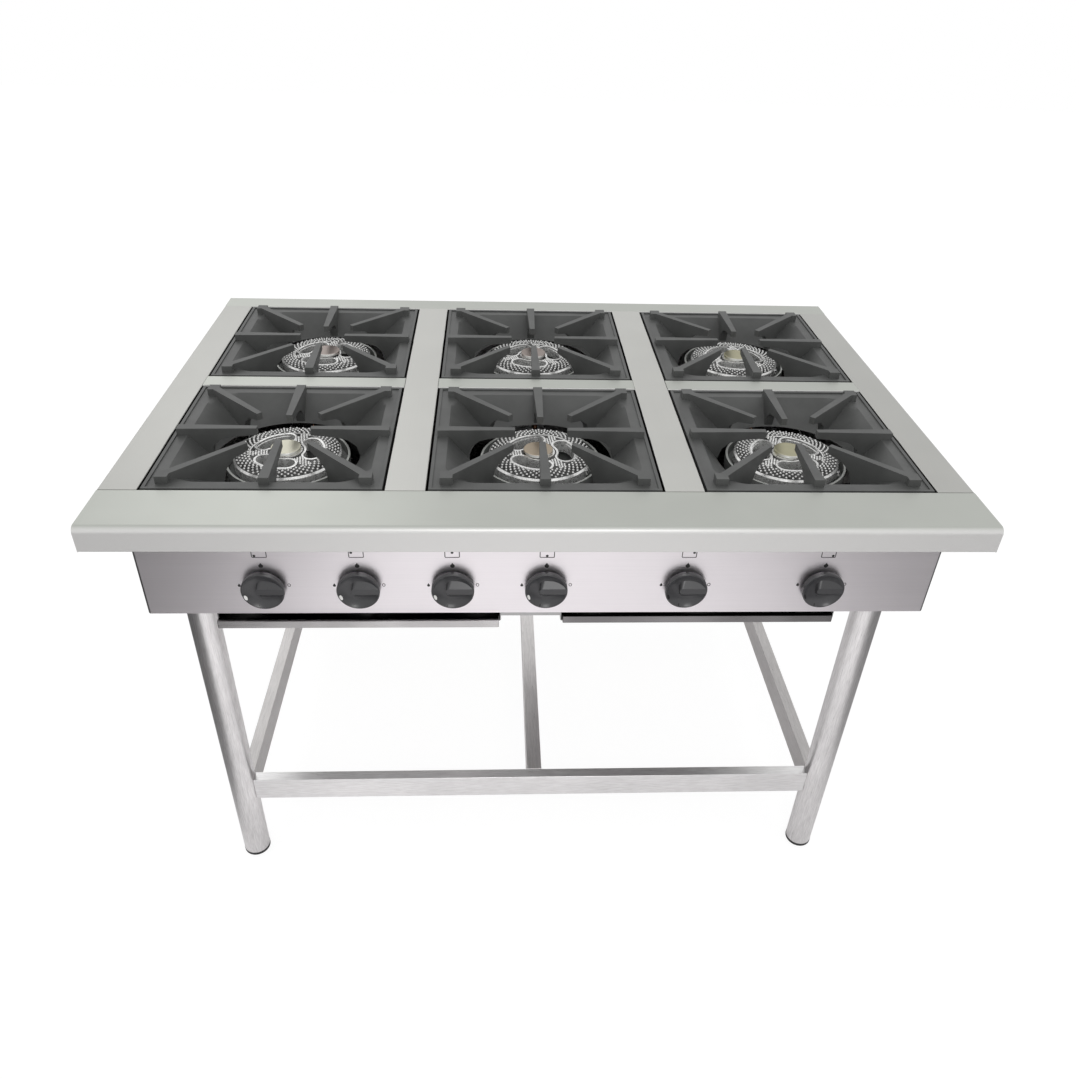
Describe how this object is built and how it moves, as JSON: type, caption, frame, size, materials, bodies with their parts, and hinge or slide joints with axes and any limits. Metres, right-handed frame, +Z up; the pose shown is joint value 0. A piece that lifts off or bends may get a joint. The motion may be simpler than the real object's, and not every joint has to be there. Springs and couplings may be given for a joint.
{
  "type": "commercial gas cooktop",
  "caption": "Free-standing gas cooktop: open burners under square cast-iron pan grates in a folded steel top, control knobs on the front, drip trays, round legs with low rails.",
  "frame": {"origin": "on the floor, under the middle of the worktop", "axes": "+X to the cook's right along the front edge, +Y from the front to the back, +Z up"},
  "size_m": [1.3, 0.9, 0.86],
  "materials": {
    "worktop_steel": "fine satin",
    "panel_steel": "satin",
    "tube_steel": "satin",
    "folded_steel": "mill",
    "tray_steel": "mill",
    "grate_iron": "matt enamel",
    "burner_casting": "as cast",
    "head_nickel": "nickel plated casting",
    "knob_plastic": "matt",
    "foot_plastic": "matt",
    "tap_brass": "turned",
    "pipe_copper": "drawn copper",
    "pipe_steel": "black pipe",
    "small_steel": "bright"
  },
  "bodies": {
    "cooktop": {"burner_bodies": "burner_casting", "burner_rails": "folded_steel", "control_panel": "panel_steel", "feed_pipes": "pipe_copper", "feet": "foot_plastic", "flame_probes": "small_steel", "gas_manifold": "pipe_steel", "injectors": "tap_brass", "leg_front_left": "tube_steel", "leg_front_right": "tube_steel", "leg_rear_left": "tube_steel", "leg_rear_right": "tube_steel", "leg_sockets": "folded_steel", "rear_panel": "panel_steel", "rear_panel_screws": "small_steel", "side_panel_left": "panel_steel", "side_panel_right": "panel_steel", "stretcher_front": "tube_steel", "stretcher_left": "tube_steel", "stretcher_middle": "tube_steel", "stretcher_rear": "tube_steel", "stretcher_right": "tube_steel", "tap_bodies": "tap_brass", "tap_springs": "small_steel", "tray_runner_left": "folded_steel", "tray_runner_middle": "folded_steel", "tray_runner_right": "folded_steel", "worktop_bar_left": "worktop_steel", "worktop_bar_right": "worktop_steel", "worktop_cross_strips": "worktop_steel", "worktop_front_rail": "worktop_steel", "worktop_rear_rail": "worktop_steel", "worktop_side_left": "worktop_steel", "worktop_side_right": "worktop_steel"},
    "grate_1": {"grate_1": "grate_iron"},
    "grate_2": {"grate_2": "grate_iron"},
    "grate_3": {"grate_3": "grate_iron"},
    "grate_4": {"grate_4": "grate_iron"},
    "grate_5": {"grate_5": "grate_iron"},
    "grate_6": {"grate_6": "grate_iron"},
    "burner_head_1": {"burner_head_1": "head_nickel"},
    "burner_head_2": {"burner_head_2": "head_nickel"},
    "burner_head_3": {"burner_head_3": "head_nickel"},
    "burner_head_4": {"burner_head_4": "head_nickel"},
    "burner_head_5": {"burner_head_5": "head_nickel"},
    "burner_head_6": {"burner_head_6": "head_nickel"},
    "knob_1": {"knob_1": "knob_plastic"},
    "knob_2": {"knob_2": "knob_plastic"},
    "knob_3": {"knob_3": "knob_plastic"},
    "knob_4": {"knob_4": "knob_plastic"},
    "knob_5": {"knob_5": "knob_plastic"},
    "knob_6": {"knob_6": "knob_plastic"},
    "tap_spindle_1": {"tap_spindle_1": "tap_brass"},
    "tap_spindle_2": {"tap_spindle_2": "tap_brass"},
    "tap_spindle_3": {"tap_spindle_3": "tap_brass"},
    "tap_spindle_4": {"tap_spindle_4": "tap_brass"},
    "tap_spindle_5": {"tap_spindle_5": "tap_brass"},
    "tap_spindle_6": {"tap_spindle_6": "tap_brass"},
    "drip_tray_left": {"drip_tray_left": "tray_steel"},
    "drip_tray_right": {"drip_tray_right": "tray_steel"}
  },
  "joints": [
    {"name": "knob_turn_1", "type": "hinge", "parent": "cooktop", "child": "tap_spindle_1", "pos_m": [-0.421, -0.4, 0.71], "axis": [0, -1, 0], "range_deg": [0, 180]},
    {"name": "knob_push_1", "type": "slide", "parent": "tap_spindle_1", "child": "knob_1", "axis": [0, 1, 0], "range_m": [0, 0.003], "stiffness_N_per_m": 1200, "springref_m": -0.004, "deforming": ["tap_springs"]},
    {"name": "knob_turn_2", "type": "hinge", "parent": "cooktop", "child": "tap_spindle_2", "pos_m": [-0.28, -0.4, 0.71], "axis": [0, -1, 0], "range_deg": [0, 180]},
    {"name": "knob_push_2", "type": "slide", "parent": "tap_spindle_2", "child": "knob_2", "axis": [0, 1, 0], "range_m": [0, 0.003], "stiffness_N_per_m": 1200, "springref_m": -0.004, "deforming": ["tap_springs"]},
    {"name": "knob_turn_3", "type": "hinge", "parent": "cooktop", "child": "tap_spindle_3", "pos_m": [-0.139, -0.4, 0.71], "axis": [0, -1, 0], "range_deg": [0, 180]},
    {"name": "knob_push_3", "type": "slide", "parent": "tap_spindle_3", "child": "knob_3", "axis": [0, 1, 0], "range_m": [0, 0.003], "stiffness_N_per_m": 1200, "springref_m": -0.004, "deforming": ["tap_springs"]},
    {"name": "knob_turn_4", "type": "hinge", "parent": "cooktop", "child": "tap_spindle_4", "pos_m": [0.002, -0.4, 0.71], "axis": [0, -1, 0], "range_deg": [0, 180]},
    {"name": "knob_push_4", "type": "slide", "parent": "tap_spindle_4", "child": "knob_4", "axis": [0, 1, 0], "range_m": [0, 0.003], "stiffness_N_per_m": 1200, "springref_m": -0.004, "deforming": ["tap_springs"]},
    {"name": "knob_turn_5", "type": "hinge", "parent": "cooktop", "child": "tap_spindle_5", "pos_m": [0.2155, -0.4, 0.71], "axis": [0, -1, 0], "range_deg": [0, 180]},
    {"name": "knob_push_5", "type": "slide", "parent": "tap_spindle_5", "child": "knob_5", "axis": [0, 1, 0], "range_m": [0, 0.003], "stiffness_N_per_m": 1200, "springref_m": -0.004, "deforming": ["tap_springs"]},
    {"name": "knob_turn_6", "type": "hinge", "parent": "cooktop", "child": "tap_spindle_6", "pos_m": [0.428, -0.4, 0.71], "axis": [0, -1, 0], "range_deg": [0, 180]},
    {"name": "knob_push_6", "type": "slide", "parent": "tap_spindle_6", "child": "knob_6", "axis": [0, 1, 0], "range_m": [0, 0.003], "stiffness_N_per_m": 1200, "springref_m": -0.004, "deforming": ["tap_springs"]},
    {"name": "tray_left_slide", "type": "slide", "parent": "cooktop", "child": "drip_tray_left", "axis": [0, -1, 0], "range_m": [-0.01, 0.6]},
    {"name": "tray_right_slide", "type": "slide", "parent": "cooktop", "child": "drip_tray_right", "axis": [0, -1, 0], "range_m": [0, 0.6]},
    {"name": "grate_lift_1", "type": "slide", "parent": "cooktop", "child": "grate_1", "axis": [0, 0, 1], "range_m": [0, 0.1]},
    {"name": "grate_lift_2", "type": "slide", "parent": "cooktop", "child": "grate_2", "axis": [0, 0, 1], "range_m": [0, 0.1]},
    {"name": "grate_lift_3", "type": "slide", "parent": "cooktop", "child": "grate_3", "axis": [0, 0, 1], "range_m": [0, 0.1]},
    {"name": "grate_lift_4", "type": "slide", "parent": "cooktop", "child": "grate_4", "axis": [0, 0, 1], "range_m": [0, 0.1]},
    {"name": "grate_lift_5", "type": "slide", "parent": "cooktop", "child": "grate_5", "axis": [0, 0, 1], "range_m": [0, 0.1]},
    {"name": "grate_lift_6", "type": "slide", "parent": "cooktop", "child": "grate_6", "axis": [0, 0, 1], "range_m": [0, 0.1]},
    {"name": "head_lift_1", "type": "slide", "parent": "cooktop", "child": "burner_head_1", "axis": [0, 0, 1], "range_m": [0, 0.02]},
    {"name": "head_lift_2", "type": "slide", "parent": "cooktop", "child": "burner_head_2", "axis": [0, 0, 1], "range_m": [0, 0.02]},
    {"name": "head_lift_3", "type": "slide", "parent": "cooktop", "child": "burner_head_3", "axis": [0, 0, 1], "range_m": [0, 0.02]},
    {"name": "head_lift_4", "type": "slide", "parent": "cooktop", "child": "burner_head_4", "axis": [0, 0, 1], "range_m": [0, 0.02]},
    {"name": "head_lift_5", "type": "slide", "parent": "cooktop", "child": "burner_head_5", "axis": [0, 0, 1], "range_m": [0, 0.02]},
    {"name": "head_lift_6", "type": "slide", "parent": "cooktop", "child": "burner_head_6", "axis": [0, 0, 1], "range_m": [0, 0.02]}
  ]
}
